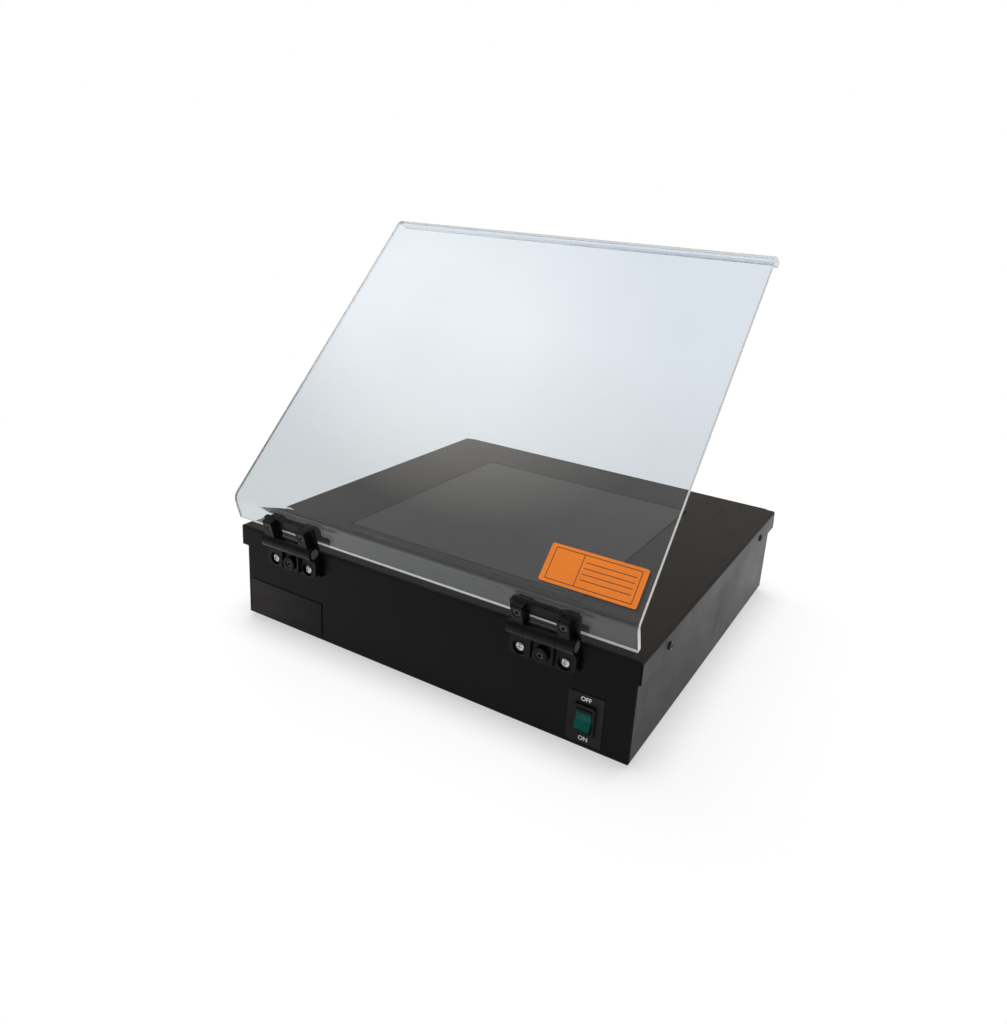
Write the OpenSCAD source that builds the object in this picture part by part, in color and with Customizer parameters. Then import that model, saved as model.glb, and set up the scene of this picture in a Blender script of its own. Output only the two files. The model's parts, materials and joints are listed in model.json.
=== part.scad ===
/* [Housing] */
// Width of the lid across the front
lid_w = 330; // [324:1:380]
// Depth of the lid from front to back
lid_d = 310; // [296:1:360]
// Height from the underside of the housing to the top of the lid
housing_h = 74; // [70:1:95]
// Thickness of the folded sheet steel
sheet_t = 1.2; // [0.8:0.1:1.6]
// Outer radius of the folds in the sheet
fold_r = 2; // [1.7:0.1:3]
// Height of the skirt that the lid turns down over the housing
skirt_h = 15.5; // [14:0.5:20]
// Gap between the skirt and the housing wall
skirt_gap = 1.6; // [0.6:0.1:2.4]
// Width of the flange folded inwards round the top of the housing
flange_w = 12; // [8:1:16]
// Width of the relief notch at the two rear corners of the lid
corner_notch = 8; // [4:0.5:12]
// Distance of the lid screws from the front and rear edges of the lid
lid_screw_inset = 47; // [30:1:70]
// Drop of the lid screws below the top of the lid
lid_screw_drop = 10.5; // [8:0.5:11.5]

/* [Feet] */
// Height that the feet hold the housing off the bench
foot_h = 3; // [2.5:0.5:8]
// Radius of a foot where it meets the housing
foot_r = 9; // [7:0.5:12]
// Distance of the feet from the sides and ends of the housing
foot_inset = 24; // [16:1:34]

/* [Filter] */
// Width of the filter glass, side to side
filter_w = 200; // [150:1:214]
// Depth of the filter glass, front to back
filter_d = 200; // [150:1:214]
// Thickness of the filter glass
filter_t = 5; // [4:0.5:6]
// Width of the bead that seals the glass into the lid
seal_w = 1.5; // [1:0.1:3]
// Width of the ledge under the edge of the glass
ledge_w = 6; // [4:0.5:9]
// Place of the filter's middle, front to back, from the middle of the lid
filter_y = -2; // [-8:1:8]

/* [Lamps] */
// Number of lamps under the filter
lamp_count = 6; // [4:1:6]
// Distance from one lamp to the next
lamp_pitch = 33; // [30:0.5:36]
// Room between the end of a lamp and the side wall of the housing
lamp_end_room = 17; // [15:0.5:22]
// Radius of a lamp tube
lamp_r = 7.75; // [6:0.25:8]
// Thickness of the glass wall of a lamp tube
lamp_wall = 0.8; // [0.5:0.1:1.2]
// Length of the metal cap on each end of a lamp
lamp_cap_l = 12; // [9:0.5:15]
// Height of the lamp axes above the underside of the housing
lamp_z = 47; // [45:0.5:49]
// Height of the folded rails that carry the lamp holders
rail_h = 32; // [30:0.5:33]
// Thickness of the bright sheet of the reflector
reflector_t = 0.6; // [0.5:0.1:1]

/* [Cover] */
// Thickness of the clear cover
cover_t = 4; // [3:0.25:4.5]
// Distance from each side of the lid to the side of the cover
cover_inset = 3; // [0:0.5:10]
// Length of the tab that the hinges hold, up to its bend
tab_l = 19.4; // [19:0.1:22]
// Angle that the cover turns through where the tab meets the panel
tab_bend = 60.5; // [55:0.5:64]
// Length of the panel between its two bends
panel_l = 277; // [240:1:284]
// Length of the turned-down lip at the far edge
lip_l = 14; // [13:0.5:16]
// Angle that the lip turns through
lip_bend = 74; // [60:1:84]
// Inner radius of the bends in the cover
cover_bend_r = 4; // [3:0.25:4.5]
// Angle of the panel above the lid as it stands open
cover_angle = 46.5; // [35:0.5:55]

/* [Hinges] */
// Distance of the left hinge's middle from the left side of the lid
hinge_left_inset = 58; // [52:0.5:80]
// Distance of the right hinge's middle from the right side of the lid
hinge_right_inset = 63; // [61:0.5:80]
// Width of a hinge along its axis
hinge_w = 46.8; // [45:0.2:50]
// Radius of the hinge barrel
barrel_r = 5.5; // [5.2:0.1:6]
// Length of the middle knuckle of the barrel
knuckle_l = 22.4; // [18:0.2:22.8]
// Gap between neighbouring knuckles
knuckle_gap = 0.3; // [0.2:0.05:0.5]
// Radius of the friction pin
pin_r = 2; // [1.5:0.1:2.2]
// Radial clearance between the pin and the knuckles that turn on it
pin_clearance = 0.05; // [0.02:0.01:0.1]
// Height of the hinge axis above the top of the lid
pivot_rise = 0.4; // [0.3:0.1:1.2]
// Gap between the back of the hinges and the skirt of the lid
hinge_standoff = 1.1; // [1:0.1:2]
// Distance between the two screws in each half of a hinge
hinge_screw_pitch = 31.8; // [31:0.2:33]
// Distance from the hinge axis down to the screws in the lower leaf
base_screw_drop = 14.4; // [13.8:0.2:16]
// Distance from the hinge axis up to the bolts in the upper leaf
arm_screw_rise = 13.2; // [12.6:0.1:13.8]
// Thickness of the lower leaf
leaf_t = 4.7; // [4.2:0.1:5]
// Thickness of the upper leaf between its bolt blocks
arm_t = 2.8; // [2.4:0.1:4]
// Width of the block round each bolt of the upper leaf
block_w = 8; // [7.4:0.1:9]

/* [Switch] */
// Distance of the switch's middle from the right side of the lid
switch_inset = 34; // [29:0.5:60]
// Height of the switch above the underside of the housing
switch_z = 21.5; // [20:0.5:28]
// Width of the bezel of the switch
bezel_w = 15; // [14.6:0.1:17]
// Height of the bezel of the switch
bezel_h = 21; // [20.6:0.1:23]
// Angle that the rocker tips to each side of its middle
rocker_tilt = 12; // [8:1:13]
// Side clearance between the rocker and the bezel
rocker_gap = 0.3; // [0.2:0.05:0.4]

/* [Plates] */
// Width of the plate round the switch
switch_plate_w = 24.5; // [22:0.5:30]
// Height of the plate round the switch
switch_plate_h = 35; // [30:0.5:37]
// Width of the blank plate at the left of the front
name_plate_w = 72; // [40:1:80]
// Height of the blank plate at the left of the front
name_plate_h = 28; // [16:1:29]
// Distance of the blank plate from the left side of the lid
name_plate_inset = 7; // [6:0.5:20]
// Thickness of both plates
plate_t = 0.6; // [0.4:0.1:1]
// Width of the blank label on the cover
label_w = 64; // [40:1:80]
// Height of the blank label on the cover
label_h = 25; // [16:1:40]
// Thickness of the label
label_t = 0.3; // [0.2:0.1:0.5]
// Distance of the label from the right side of the cover
label_inset = 4.6; // [2:0.2:20]
// Distance of the label from the bend of the tab
label_rise = 9.8; // [8:0.2:40]

/* [Inlet] */
// Distance of the mains inlet's middle from the right side of the lid
inlet_inset = 60; // [45:1:90]
// Height of the mains inlet above the underside of the housing
inlet_z = 29; // [25:0.5:36]
// Depth of the fuse drawer inside the inlet
drawer_l = 21; // [16:0.5:23]
// Clearance round the fuse drawer
drawer_gap = 0.25; // [0.15:0.05:0.4]

/* [Vents] */
// Number of ventilation slots in the rear wall
vent_count = 22; // [8:1:24]
// Distance from one ventilation slot to the next
vent_pitch = 8; // [6:0.5:9]
// Width of a ventilation slot
vent_w = 3.2; // [2:0.2:4]
// Height of a ventilation slot in the rear wall
vent_h = 26; // [12:1:34]

/* [Hidden] */
$fn = 64;

// Sheet metal: levels and wall faces, with the middle of the lid as the centre
lid_top = foot_h + housing_h;
lid_under = lid_top - sheet_t;
floor_top = foot_h + sheet_t;
tray_w = lid_w - 2 * (sheet_t + skirt_gap);
tray_d = lid_d - 2 * (sheet_t + skirt_gap);
tray_h = housing_h - sheet_t;
front_y = -tray_d / 2;
rear_y = tray_d / 2;
fold_inner_r = fold_r - sheet_t;
cut = 1;

// Screw sizes: M3 and M4 machine screws with low nuts
m3_r = 1.5;
m3_hole_r = 1.6;
m3_head_r = 2.8;
m3_head_h = 1.6;
m3_nut_af = 5.5;
m3_nut_t = 2.4;
m4_r = 2;
m4_hole_r = 2.15;
m4_head_r = 3.8;
m4_nut_af = 7;
m4_nut_t = 2.2;
lid_screw_z = lid_top - lid_screw_drop;
lid_screw_y = lid_d / 2 - lid_screw_inset;

// Filter seat
opening_w = filter_w + 2 * seal_w;
opening_d = filter_d + 2 * seal_w;
opening_r = 2;
glass_z = lid_top - filter_t;
frame_gap = 1;
frame_w = opening_w + 2 * (frame_gap + sheet_t);
frame_d = opening_d + 2 * (frame_gap + sheet_t);
glass_r = 1;
seal_top_drop = 0.4;

// Lamps, rails and reflector
lamp_axis_z = foot_h + lamp_z;
rail_top = floor_top + rail_h;
rail_w = 16;
rail_end = 9;
rail_l = lamp_count * lamp_pitch + 2 * rail_end;
rail_t = 1;
holder_t = 8;
holder_w = 20;
holder_gap = 0.3;
lamp_l = tray_w - 2 * sheet_t - 2 * lamp_end_room;
holder_x = lamp_l / 2 + holder_gap;
holder_crown = 9;
rail_x = holder_x + holder_t / 2;
lamp_pin_r = 1.15;
lamp_pin_l = 6.5;
lamp_pin_offset = 2.4;
reflector_play = 0.5;
reflector_l = lamp_l - 2 * reflector_play;
ridge_h = 7;
ridge_w = 8;

// Ballasts
ballast_count = 3;
ballast_w = 132;
ballast_d = 34;
ballast_h = 22;
ballast_pitch = 62;
ballast_tab = 9;
ballast_tab_t = 1.2;

// Hinge axis, and the lean of the upper leaves that follows from the cover's angle
pack_t = (lid_d - tray_d) / 2 + hinge_standoff;
pivot_y = -lid_d / 2 - hinge_standoff - barrel_r;
pivot_z = lid_top + pivot_rise;
tab_lean = cover_angle + tab_bend - 90;
hinge_xs = [hinge_left_inset - lid_w / 2, lid_w / 2 - hinge_right_inset];
leaf_front = barrel_r - leaf_t;
base_gap = 0.6;
base_top_drop = barrel_r + base_gap;
base_end = 5.8;
base_drop = base_screw_drop + base_end;
base_corner_r = 4;
pack_drop_gap = 1.1;
pack_top_drop = base_top_drop + pack_drop_gap;
pack_top_z = pivot_z - pack_top_drop;
notch_clear = 0.7;
notch_w = hinge_w + 2 * notch_clear;
notch_h = pack_top_z + notch_clear - lid_top + skirt_h;
pocket_r = 4.9;
head_sink = 1.5;
boss_r = 5.2;
boss_rise = 3.2;
boss_up = 0.8;
boss_drop = base_screw_drop - boss_up;
rib_t = 1.6;
rib_x = 8;
rib_rise = 2.2;
arm_end = 5.2;
arm_h = arm_screw_rise + arm_end;
arm_corner_r = 1.2;
block_reach = 2.4;
crossbar_under = 2.6;
crossbar_low = arm_screw_rise - crossbar_under;
cap_r = 3.6;
cap_t = 1.2;
end_play = 0.4;
pin_end = hinge_w / 2 - cap_t - end_play;
bolt_head_r = 2.75;
bolt_head_h = 2.4;
bolt_bore_r = 3;
bolt_sink = 2.8;
torque_r = 2.5;
torque_l = 3.4;
torque_sink = 0.6;

// Cover
cover_w = lid_w - 2 * cover_inset;
tab_gap = 0.3;
tab_start = barrel_r + tab_gap;
bend_outer_r = cover_bend_r + cover_t;
bend_step = 0.02; // a bend is thinner than its flats by this on each face
tab_run = bend_outer_r * tan(tab_bend / 2);
lip_run = bend_outer_r * tan(lip_bend / 2);
label_cx = cover_w / 2 - label_inset - label_w / 2;
label_cz = label_rise - tab_run + label_h / 2;
label_r = 1.5;

// Switch
bezel_t = 2;
switch_wall_y = front_y - plate_t;
bezel_front = switch_wall_y - bezel_t;
switch_x = lid_w / 2 - switch_inset;
switch_cz = foot_h + switch_z;
bezel_lap = 1;
body_w = bezel_w - 2 * bezel_lap;
body_h = bezel_h - 2 * bezel_lap;
body_l = 15;
body_side = 1.3;
body_end = 1.6;
rocker_w = body_w - 2 * body_side;
rocker_r = body_h / 2 - body_end;
rocker_valley = 2.2;
rocker_back = 3.4;
rocker_pivot_in = 1.8;
rocker_pivot_y = bezel_front + rocker_pivot_in;
trunnion_r = 1;
trunnion_l = 0.9;
trunnion_clear = 0.05;
well_clear = 0.4;
well_l = rocker_pivot_in + rocker_r + well_clear;
blade_w = 4.8;
blade_t = 0.8;
blade_l = 7;

// Blank plates
name_plate_x = -lid_w / 2 + name_plate_inset + name_plate_w / 2;
name_plate_rise = 2.2;
name_plate_z = foot_h + name_plate_h / 2 + name_plate_rise;
plate_r = 0.8;

// Mains inlet with its fuse drawer
inlet_x = lid_w / 2 - inlet_inset;
inlet_cz = foot_h + inlet_z;
inlet_flange_w = 50;
inlet_flange_h = 33;
inlet_flange_t = 3;
inlet_screw_pitch = 40;
socket_w = 24.4;
socket_h = 16.6;
socket_l = 17;
socket_up = 4.6;
socket_bevel = 4.5;
inlet_body_w = 28;
inlet_body_h = 30;
inlet_body_l = 27;
contact_w = 2;
contact_h = 4;
contact_pitch = 14;
contact_up = 4;
contact_l = 13;
contact_tail = 9;
pocket_w = 23;
pocket_h = 8.2;
pocket_down = 9.9;
pocket_end = 1;
pocket_l = drawer_l + pocket_end;
drawer_front_t = 1.6;
drawer_wall = 1;
fuse_r = 2.5;
fuse_l = 20;

// Screw lengths, vents, slits and other small sizes
panel_clear = 0.2;
screw_end = 0.6;
lid_screw_l = (lid_w - tray_w) / 2 + sheet_t + m3_nut_t + screw_end;
hinge_screw_l = leaf_t - head_sink + pack_t + sheet_t + m3_nut_t + screw_end;
cover_bolt_l = block_reach + barrel_r - bolt_sink + cover_t + m3_nut_t + screw_end;
inlet_screw_l = inlet_flange_t + sheet_t + m3_nut_t + screw_end;
slit_w = 0.6;
slit_head = 1;
foot_taper = 1;
foot_web = 1;
foot_screw_head_h = 1.4;
foot_screw_l = foot_web + sheet_t + m4_nut_t + screw_end;
vent_x = (inlet_x - inlet_flange_w / 2 - tray_w / 2) / 2;
vent_z = foot_h + (housing_h - skirt_h) / 2;
floor_vent_count = 6;
floor_vent_pitch = 9;
floor_vent_l = 60;
floor_vent_clear = 8;
floor_vent_x = ballast_w / 2 + ballast_tab + floor_vent_clear;
stud_from_inlet = 40;
stud_from_rear = 22;
stud_x = inlet_x - stud_from_inlet;
stud_y = rear_y - stud_from_rear;
stud_l = 14;
inlet_corner_r = 6;
drawer_lap = 0.8;
fuse_count = 2;
bezel_r = 1.6;

// Half the difference between the front and rear reach puts the origin
// under the middle of everything as it stands, with the cover open
corner_up = (arm_h - arm_corner_r) * sin(tab_lean);
corner_out = (block_reach - arm_corner_r) * cos(tab_lean);
front_reach = -pivot_y + corner_up + corner_out + arm_corner_r;
rear_reach = rear_y + inlet_flange_t + drawer_front_t;
centre_y = (front_reach - rear_reach) / 2;

module placed() { translate([0, centre_y, 0]) children(); }

// Two-dimensional shapes
module round_rect(w, h, r) {
    square([w - 2 * r, h], center = true);
    square([w, h - 2 * r], center = true);
    for (x = [-1, 1], y = [-1, 1])
        translate([x * (w / 2 - r), y * (h / 2 - r)]) circle(r = r);
}
module slot_shape(w, l) {
    square([w, l - w], center = true);
    for (y = [-1, 1]) translate([0, y * (l - w) / 2]) circle(d = w);
}
module ring_shape(w, d, r, wall) {
    difference() {
        round_rect(w, d, r);
        square([w - 2 * wall, d - 2 * wall], center = true);
    }
}

// Directions: a profile drawn in X and Y, set up along a wall or along the width
module along_x(l) { rotate([90, 0, 90]) linear_extrude(l, center = true) children(); }
module along_y(l) { rotate([90, 0, 0]) linear_extrude(l, center = true) children(); }
module x_rod(r, l) { rotate([0, 90, 0]) cylinder(r = r, h = l, center = true); }
module y_rod(r, l) { rotate([90, 0, 0]) cylinder(r = r, h = l, center = true); }
module both_sides() {
    children();
    mirror([1, 0, 0]) children();
}

// A box with every edge folded to the same radius
module folded_box(w, d, h, r) {
    intersection() {
        along_y(d) round_rect(w, h, r);
        along_x(w) round_rect(d, h, r);
        linear_extrude(h, center = true) round_rect(w, d, r);
    }
}

// Housing: a tray folded from sheet, with a flange turned in at the top
module hinge_screw_places(z) {
    for (x = hinge_xs, side = [-1, 1])
        translate([x + side * hinge_screw_pitch / 2, 0, z]) children();
}
module foot_places() {
    for (x = [-1, 1], y = [-1, 1])
        translate([x * (tray_w / 2 - foot_inset), y * (tray_d / 2 - foot_inset), 0]) children();
}
module ballast_places() {
    for (i = [0:ballast_count - 1])
        translate([0, (i - (ballast_count - 1) / 2) * ballast_pitch, floor_top]) children();
}
module ballast_screw_places() {
    ballast_places() for (side = [-1, 1])
        translate([side * (ballast_w / 2 + ballast_tab / 2), 0, 0]) children();
}
module lid_screw_places() {
    for (y = [-1, 1]) translate([0, y * lid_screw_y, lid_screw_z]) children();
}
module rear_vents() {
    translate([vent_x, rear_y, vent_z]) for (i = [0:vent_count - 1])
        translate([(i - (vent_count - 1) / 2) * vent_pitch, 0, 0])
            along_y(4 * sheet_t) slot_shape(vent_w, vent_h);
}
module floor_vents() {
    both_sides() for (i = [0:floor_vent_count - 1])
        translate([floor_vent_x + i * floor_vent_pitch, 0, foot_h - cut])
            linear_extrude(sheet_t + 2 * cut) slot_shape(vent_w, floor_vent_l);
}
module chassis() {
    color("#1d1c1c") placed() difference() {
        translate([0, 0, foot_h + tray_h / 2]) difference() {
            folded_box(tray_w, tray_d, tray_h, fold_r);
            folded_box(tray_w - 2 * sheet_t, tray_d - 2 * sheet_t, tray_h - 2 * sheet_t, fold_inner_r);
        }
        translate([0, 0, lid_under - 2 * sheet_t])
            linear_extrude(4 * sheet_t)
                square([tray_w - 2 * flange_w, tray_d - 2 * flange_w], center = true);
        hinge_screw_places(pivot_z - base_screw_drop)
            translate([0, front_y, 0]) y_rod(m3_hole_r, 4 * sheet_t);
        translate([switch_x, front_y, switch_cz])
            along_y(4 * sheet_t)
                square([body_w + 2 * panel_clear, body_h + 2 * panel_clear], center = true);
        translate([inlet_x, rear_y, inlet_cz]) {
            along_y(4 * sheet_t)
                square([inlet_body_w + 2 * panel_clear, inlet_body_h + 2 * panel_clear], center = true);
            for (side = [-1, 1])
                translate([side * inlet_screw_pitch / 2, 0, 0]) y_rod(m3_hole_r, 4 * sheet_t);
        }
        lid_screw_places() x_rod(m3_hole_r, lid_w);
        rear_vents();
        floor_vents();
        foot_places() cylinder(r = m4_hole_r, h = 4 * foot_h, center = true);
        ballast_screw_places() cylinder(r = m3_hole_r, h = 4 * sheet_t, center = true);
        translate([stud_x, stud_y, foot_h]) cylinder(r = m4_r, h = 4 * sheet_t, center = true);
    }
}

// Lid: a flat top with four turned-down skirts and relief cuts at its corners
module lid_corner_cuts() {
    both_sides() for (end = [-1, 1])
        translate([lid_w / 2 - fold_r, end * (lid_d / 2 - fold_r), lid_top - fold_r - slit_head])
            rotate([0, 0, end * 45]) {
                translate([0, -slit_w / 2, -skirt_h]) cube([3 * fold_r, slit_w, skirt_h]);
                rotate([0, 90, 0]) cylinder(r = slit_w, h = 3 * fold_r);
            }
}
module rear_corner_notch() {
    n = corner_notch;
    both_sides() translate([lid_w / 2, lid_d / 2, lid_top]) along_y(2 * (fold_r + sheet_t))
        polygon([[cut, cut], [-n, cut], [-n, -n / 2], [0, -n], [cut, -n]]);
}
module lid() {
    color("#201f1f") placed() difference() {
        translate([0, 0, lid_top - skirt_h]) difference() {
            folded_box(lid_w, lid_d, 2 * skirt_h, fold_r);
            translate([0, 0, -sheet_t])
                folded_box(lid_w - 2 * sheet_t, lid_d - 2 * sheet_t, 2 * skirt_h, fold_inner_r);
            translate([0, 0, -2 * skirt_h])
                linear_extrude(2 * skirt_h) square([lid_w + 2 * cut, lid_d + 2 * cut], center = true);
        }
        translate([0, filter_y, lid_top - 2 * sheet_t])
            linear_extrude(4 * sheet_t) round_rect(opening_w, opening_d, opening_r);
        for (x = hinge_xs)
            translate([x - notch_w / 2, -lid_d / 2 - 2 * sheet_t, lid_top - skirt_h - cut])
                cube([notch_w, 4 * sheet_t, notch_h + cut]);
        lid_screw_places() x_rod(m3_hole_r, 2 * lid_w);
        lid_corner_cuts();
        rear_corner_notch();
    }
}

// Screws and nuts
module pan_head(r, h) {
    difference() {
        intersection() {
            cylinder(r = r, h = h);
            translate([0, 0, h - 2 * r]) sphere(r = 2 * r);
        }
        translate([0, 0, h]) for (turn = [0, 90])
            rotate([0, 0, turn]) cube([r, r / 4, h], center = true);
    }
}
module machine_screw(shank_r, head_r, head_h, l) {
    pan_head(head_r, head_h);
    translate([0, 0, -l]) cylinder(r = shank_r, h = l);
}
module hex_nut(af, t, bore_r) {
    difference() {
        cylinder(d = af / cos(30), h = t, $fn = 6);
        translate([0, 0, -cut]) cylinder(r = bore_r, h = t + 2 * cut);
    }
}
module lid_screws() {
    color("#2a2a2c") placed() both_sides() lid_screw_places()
        translate([lid_w / 2, 0, 0]) rotate([0, 90, 0])
            machine_screw(m3_r, m3_head_r, m3_head_h, lid_screw_l);
}
module lid_nuts() {
    color("#b9bcc0") placed() both_sides() lid_screw_places()
        translate([tray_w / 2 - sheet_t - m3_nut_t, 0, 0]) rotate([0, 90, 0])
            hex_nut(m3_nut_af, m3_nut_t, m3_r);
}

// Feet: turned rubber pads, each on a screw and nut through the floor
module feet() {
    color("#161616") placed() foot_places() difference() {
        cylinder(r1 = foot_r - foot_taper, r2 = foot_r, h = foot_h);
        translate([0, 0, -cut]) cylinder(r = m4_head_r + foot_taper, h = foot_h - foot_web + cut);
        translate([0, 0, -cut]) cylinder(r = m4_r, h = foot_h + 2 * cut);
    }
}
module foot_screws() {
    color("#b9bcc0") placed() foot_places() {
        translate([0, 0, foot_h - foot_web]) mirror([0, 0, 1])
            machine_screw(m4_r, m4_head_r, foot_screw_head_h, foot_screw_l);
        translate([0, 0, floor_top]) hex_nut(m4_nut_af, m4_nut_t, m4_r);
    }
}

// Filter: glass set flush in the lid on an angle frame, with a bead all round
module filter_glass() {
    color("#2b2a26") placed() translate([0, filter_y, glass_z])
        linear_extrude(filter_t) round_rect(filter_w, filter_d, glass_r);
}
module filter_seal() {
    color("#0d0d0d") placed() translate([0, filter_y, glass_z])
        linear_extrude(filter_t - seal_top_drop) difference() {
            round_rect(opening_w, opening_d, opening_r);
            round_rect(filter_w, filter_d, glass_r);
        }
}
module filter_frame() {
    color("#3a3b3d") placed() translate([0, filter_y, glass_z - sheet_t]) {
        linear_extrude(lid_under - glass_z + sheet_t) ring_shape(frame_w, frame_d, opening_r, sheet_t);
        linear_extrude(sheet_t)
            ring_shape(frame_w, frame_d, opening_r, (frame_w - filter_w) / 2 + ledge_w);
    }
}

// Lamps in their holders, over a reflector folded into one trough for each
function lamp_y(i) = (i - (lamp_count - 1) / 2) * lamp_pitch;
function ridge_points(i) =
    let (y = (i - lamp_count / 2) * lamp_pitch)
    [if (i > 0) [y - ridge_w, 0], [y, ridge_h], if (i < lamp_count) [y + ridge_w, 0]];
reflector_top = [for (i = [0:lamp_count]) each ridge_points(i)];
reflector_outline = concat(reflector_top,
    [for (i = [len(reflector_top) - 1:-1:0]) reflector_top[i] - [0, reflector_t]]);
module reflector() {
    color("#d9dbde") placed() translate([0, filter_y, rail_top + reflector_t])
        along_x(reflector_l) polygon(reflector_outline);
}
module lamp_places() {
    for (i = [0:lamp_count - 1]) translate([0, filter_y + lamp_y(i), lamp_axis_z]) children();
}
module lamp_tubes() {
    color("#f1f3f6") placed() lamp_places() difference() {
        x_rod(lamp_r, lamp_l - 2 * lamp_cap_l);
        x_rod(lamp_r - lamp_wall, lamp_l);
    }
}
module lamp_caps() {
    color("#c6c8cb") placed() lamp_places() both_sides() {
        translate([lamp_l / 2 - lamp_cap_l / 2, 0, 0]) x_rod(lamp_r, lamp_cap_l);
        for (side = [-1, 1])
            translate([lamp_l / 2 + lamp_pin_l / 2, side * lamp_pin_offset, 0])
                x_rod(lamp_pin_r, lamp_pin_l);
    }
}
module lamp_holders() {
    pin_well_r = lamp_pin_offset + lamp_pin_r + holder_gap;
    entry_w = 2 * (lamp_pin_r + holder_gap);
    well_depth = lamp_pin_l + holder_gap;
    color("#e9e9e6") placed() lamp_places() both_sides() difference() {
        translate([holder_x + holder_t / 2, 0, 0]) along_x(holder_t) {
            circle(r = holder_crown);
            translate([-holder_w / 2, rail_top - lamp_axis_z])
                square([holder_w, lamp_axis_z - rail_top]);
        }
        translate([holder_x, 0, 0]) x_rod(pin_well_r, 2 * well_depth);
        translate([holder_x - cut, -entry_w / 2, 0])
            cube([well_depth + cut, entry_w, 2 * holder_crown]);
    }
}
module lamp_rails() {
    color("#bfc1c4") placed() both_sides() translate([rail_x, filter_y, floor_top])
        along_y(rail_l) difference() {
            translate([-rail_w / 2, 0]) square([rail_w, rail_h]);
            translate([-rail_w / 2 + rail_t, -rail_t]) square([rail_w - 2 * rail_t, rail_h]);
        }
}
module ballasts() {
    color("#e3e4e2") placed() ballast_places() {
        translate([0, 0, ballast_h / 2]) cube([ballast_w, ballast_d, ballast_h], center = true);
        difference() {
            translate([0, 0, ballast_tab_t / 2])
                cube([ballast_w + 2 * ballast_tab, ballast_d - ballast_tab, ballast_tab_t],
                    center = true);
            for (side = [-1, 1]) translate([side * (ballast_w + ballast_tab) / 2, 0, 0])
                cylinder(r = m3_hole_r, h = 4 * ballast_tab_t, center = true);
        }
    }
}
module ballast_screws() {
    color("#b9bcc0") placed() ballast_screw_places() translate([0, 0, ballast_tab_t])
        machine_screw(m3_r, m3_head_r, m3_head_h, ballast_tab_t + sheet_t);
}
module earth_stud() {
    color("#c9a94e") placed() translate([stud_x, stud_y, foot_h]) {
        cylinder(r = m4_r, h = stud_l);
        translate([0, 0, sheet_t]) hex_nut(m4_nut_af, m4_nut_t, m4_r);
    }
}

// Hinges: a lower leaf with the middle knuckle, and an upper leaf with the two end knuckles
module at_hinge(x) { translate([x, pivot_y, pivot_z]) children(); }
module at_cover() { translate([0, pivot_y, pivot_z]) rotate([tab_lean, 0, 0]) children(); }
module both_screws() {
    for (side = [-1, 1]) translate([side * hinge_screw_pitch / 2, 0, 0]) children();
}
module hinge_packs() {
    color("#19191a") placed() for (x = hinge_xs) difference() {
        translate([x - hinge_w / 2, front_y - pack_t, pivot_z - base_drop])
            cube([hinge_w, pack_t, base_drop - pack_top_drop]);
        translate([0, front_y, 0]) hinge_screw_places(pivot_z - base_screw_drop)
            y_rod(m3_hole_r, 4 * pack_t);
    }
}
module hinge_base() {
    plate_h = base_drop - base_top_drop;
    difference() {
        union() {
            x_rod(barrel_r, knuckle_l);
            translate([-knuckle_l / 2, leaf_front, -base_top_drop - cut])
                cube([knuckle_l, leaf_t, base_top_drop + cut]);
            translate([0, leaf_front + leaf_t / 2, -base_drop + plate_h / 2])
                along_y(leaf_t) round_rect(hinge_w, plate_h, base_corner_r);
            translate([0, leaf_front - boss_rise / 2, -boss_drop]) y_rod(boss_r, boss_rise);
            for (side = [-1, 1])
                translate([side * rib_x - rib_t / 2, leaf_front - rib_rise, -base_drop + rib_t])
                    cube([rib_t, rib_rise + cut, base_drop - barrel_r]);
        }
        x_rod(pin_r, 2 * knuckle_l);
        both_screws() translate([0, 0, -base_screw_drop]) {
            y_rod(m3_hole_r, 4 * barrel_r);
            translate([0, leaf_front, 0]) y_rod(pocket_r, 2 * head_sink);
        }
        translate([0, leaf_front - boss_rise, -boss_drop]) y_rod(torque_r, 2 * torque_l);
    }
}
module hinge_base_left() { color("#141415") placed() at_hinge(hinge_xs[0]) hinge_base(); }
module hinge_base_right() { color("#141415") placed() at_hinge(hinge_xs[1]) hinge_base(); }

module arm_outline(end_l) {
    difference() {
        translate([0, arm_h / 2]) round_rect(hinge_w, arm_h, arm_corner_r);
        translate([end_l - hinge_w / 2, -cut]) square([hinge_w - 2 * end_l, crossbar_low + cut]);
    }
}
module hinge_arm() {
    end_l = hinge_w / 2 - knuckle_l / 2 - knuckle_gap;
    difference() {
        union() {
            both_sides() translate([hinge_w / 2 - end_l / 2, 0, 0]) x_rod(barrel_r, end_l);
            translate([0, barrel_r - arm_t / 2, 0]) along_y(arm_t) arm_outline(end_l);
            both_screws() translate([0, (barrel_r - block_reach) / 2, arm_h / 2])
                along_x(block_w) round_rect(barrel_r + block_reach, arm_h, arm_corner_r);
        }
        x_rod(pin_r + pin_clearance, 2 * (pin_end + end_play));
        both_sides() translate([hinge_w / 2, 0, 0]) x_rod(cap_r, 2 * cap_t);
        both_screws() translate([0, 0, arm_screw_rise]) {
            y_rod(m3_hole_r, 4 * barrel_r);
            translate([0, -block_reach, 0]) y_rod(bolt_bore_r, 2 * bolt_sink);
        }
    }
}
module arm_at(x) { translate([x, 0, 0]) at_cover() hinge_arm(); }
module hinge_arm_left() { color("#141415") placed() arm_at(hinge_xs[0]); }
module hinge_arm_right() { color("#141415") placed() arm_at(hinge_xs[1]); }

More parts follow.
